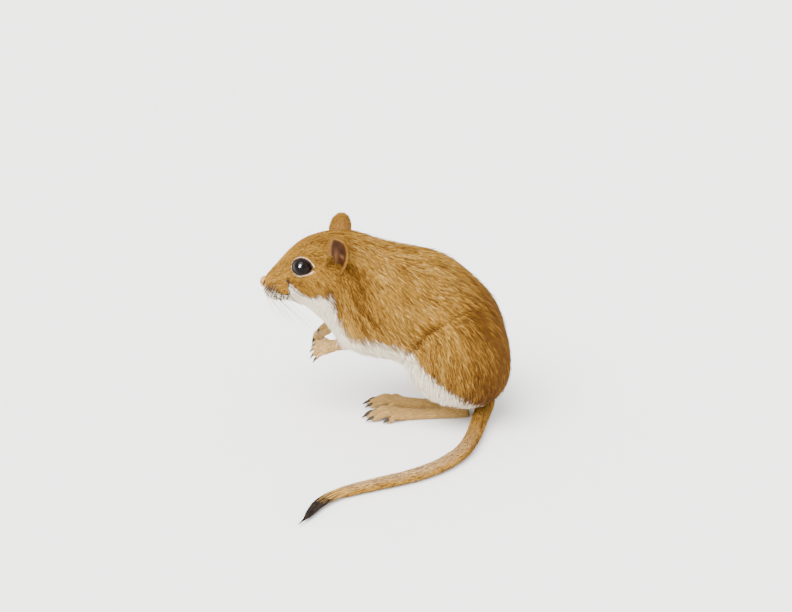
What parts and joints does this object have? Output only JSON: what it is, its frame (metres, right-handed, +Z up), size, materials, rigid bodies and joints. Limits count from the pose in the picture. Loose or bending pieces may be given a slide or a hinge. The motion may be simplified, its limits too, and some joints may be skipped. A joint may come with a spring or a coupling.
{
  "type": "mongolian gerbil",
  "caption": "Life-size Mongolian gerbil sitting up on its hind feet, forepaws held off the ground and the tufted tail laid round to its left side.",
  "frame": {"origin": "middle of the whole figure's footprint, tail included, on the ground it sits on", "axes": "+Z up; the animal looks along -Y and its left side, where the tail lies, is at +X"},
  "size_m": [0.1014, 0.079, 0.0629],
  "materials": {
    "coat": "short dense fur, golden brown with dark hair tips, cream underneath",
    "tail_hair": "black brush of longer hairs",
    "foot_skin": "very short tan hair over skin",
    "ear_skin": "thin, nearly bare reddish brown skin",
    "nose_skin": "fine-grained moist skin",
    "eye": "wet glossy black",
    "claw": "dark horn with a light sheen",
    "whisker": "single stiff hairs"
  },
  "bodies": {
    "root": {"head": "coat", "neck": "coat", "torso": "coat", "thigh_left": "coat", "thigh_right": "coat", "eye_left": "eye", "eye_right": "eye", "ear_left": "ear_skin", "ear_right": "ear_skin", "hind_foot_left": "foot_skin", "hind_foot_right": "foot_skin", "foreleg_left": "foot_skin", "foreleg_right": "foot_skin", "forepaw_left": "foot_skin", "forepaw_right": "foot_skin", "tail_base": "coat", "tail_middle": "coat", "tail_end": "coat", "tail_tuft": "tail_hair"}
  },
  "joints": []
}
